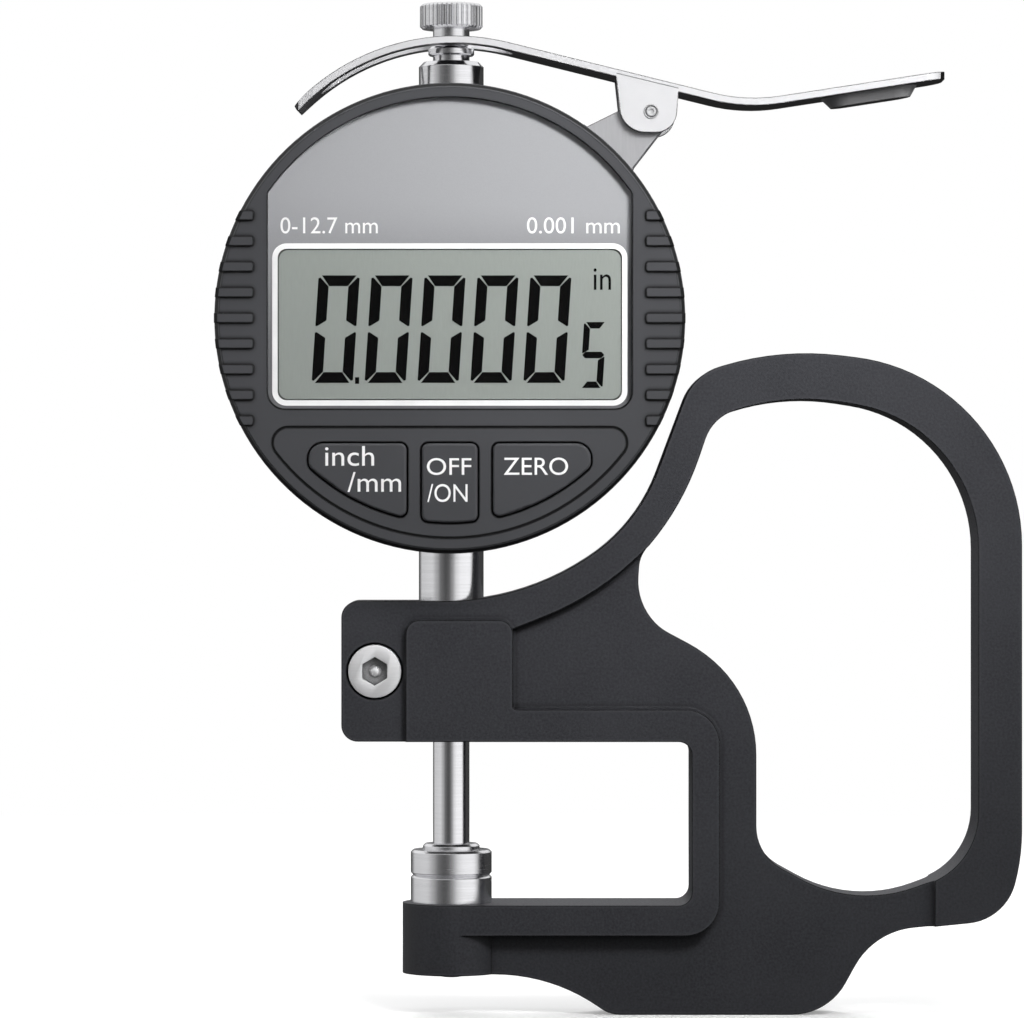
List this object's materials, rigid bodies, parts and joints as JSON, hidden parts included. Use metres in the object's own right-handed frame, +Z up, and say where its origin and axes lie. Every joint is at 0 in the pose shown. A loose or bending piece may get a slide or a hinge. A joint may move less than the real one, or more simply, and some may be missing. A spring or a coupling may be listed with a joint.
{
  "type": "digital thickness gauge",
  "caption": "Hand-held thickness gauge: cast C-frame with a finger loop, an anvil below a measuring rod, a round digital display head and a thumb lever that lifts the rod.",
  "frame": {"origin": "centre of the anvil's measuring face", "axes": "+Z up along the measuring rod, +X towards the finger loop, -Y is the side the display faces"},
  "size_m": [0.0983, 0.0243, 0.1243],
  "materials": {
    "casting": "aluminium casting with a satin black fine-grained coating",
    "head_plastic": "satin dark grey",
    "cover_plastic": "satin dark grey",
    "key_plastic": "satin dark grey with white printed words",
    "window": "clear over the display, smoked grey around it",
    "display_glass": "grey liquid-crystal display",
    "polished_steel": "polished",
    "ground_steel": "turned and ground",
    "satin_steel": "satin bright steel sheet",
    "bright_screw": "bright nickel-plated",
    "spring_steel": "drawn wire",
    "cell_steel": "stamped can",
    "bronze": "sintered bearing bronze",
    "black_rubber": "matte",
    "strip_rubber": "layered silicone",
    "grey_plastic": "matte",
    "board": "green solder mask"
  },
  "bodies": {
    "frame": {"frame": "casting", "clamp_screw": "bright_screw", "anvil": "ground_steel", "anvil_screw": "bright_screw", "stem": "polished_steel", "stem_bushing": "bronze", "upper_bushing": "polished_steel", "front_housing": "head_plastic", "guide_pin": "polished_steel", "housing_gasket": "black_rubber", "window_panel": "window", "lcd_panel": "display_glass", "lcd_holder": "grey_plastic", "contact_strip": "strip_rubber", "circuit_board": "board", "board_screws": "bright_screw", "sensor_strip": "board", "key_switches": "grey_plastic", "rear_cover": "cover_plastic", "cover_screws": "bright_screw", "battery_lid": "cover_plastic", "lid_seal": "black_rubber", "battery": "cell_steel", "battery_contacts": "bright_screw", "lever_bracket": "satin_steel", "bracket_screws": "bright_screw", "pivot_pin": "polished_steel", "return_spring": "spring_steel"},
    "rod": {"spindle": "polished_steel", "contact_point": "ground_steel", "lift_collar": "polished_steel", "lifting_knob": "polished_steel", "scale_carrier": "grey_plastic", "scale_slider": "board"},
    "lever": {"lever": "satin_steel"},
    "unit_key": {"button_unit": "key_plastic"},
    "power_key": {"button_power": "key_plastic"},
    "zero_key": {"button_zero": "key_plastic"}
  },
  "joints": [
    {"name": "rod_slide", "type": "slide", "parent": "frame", "child": "rod", "axis": [0, 0, 1], "range_m": [0, 0.0127], "deforming": ["return_spring"]},
    {"name": "lever_pivot", "type": "hinge", "parent": "frame", "child": "lever", "pos_m": [0.02455, 0, 0.0938], "axis": [0, 1, 0], "range_deg": [0, 29.2]},
    {"name": "unit_key_press", "type": "slide", "parent": "frame", "child": "unit_key", "axis": [0, 1, 0], "range_m": [0, 0.0004], "stiffness_N_per_m": 1500},
    {"name": "power_key_press", "type": "slide", "parent": "frame", "child": "power_key", "axis": [0, 1, 0], "range_m": [0, 0.0004], "stiffness_N_per_m": 1500},
    {"name": "zero_key_press", "type": "slide", "parent": "frame", "child": "zero_key", "axis": [0, 1, 0], "range_m": [0, 0.0004], "stiffness_N_per_m": 1500}
  ],
  "couplings": [
    {"joint": "lever_pivot", "follows": "rod_slide", "rad_per_m": 39.991}
  ]
}
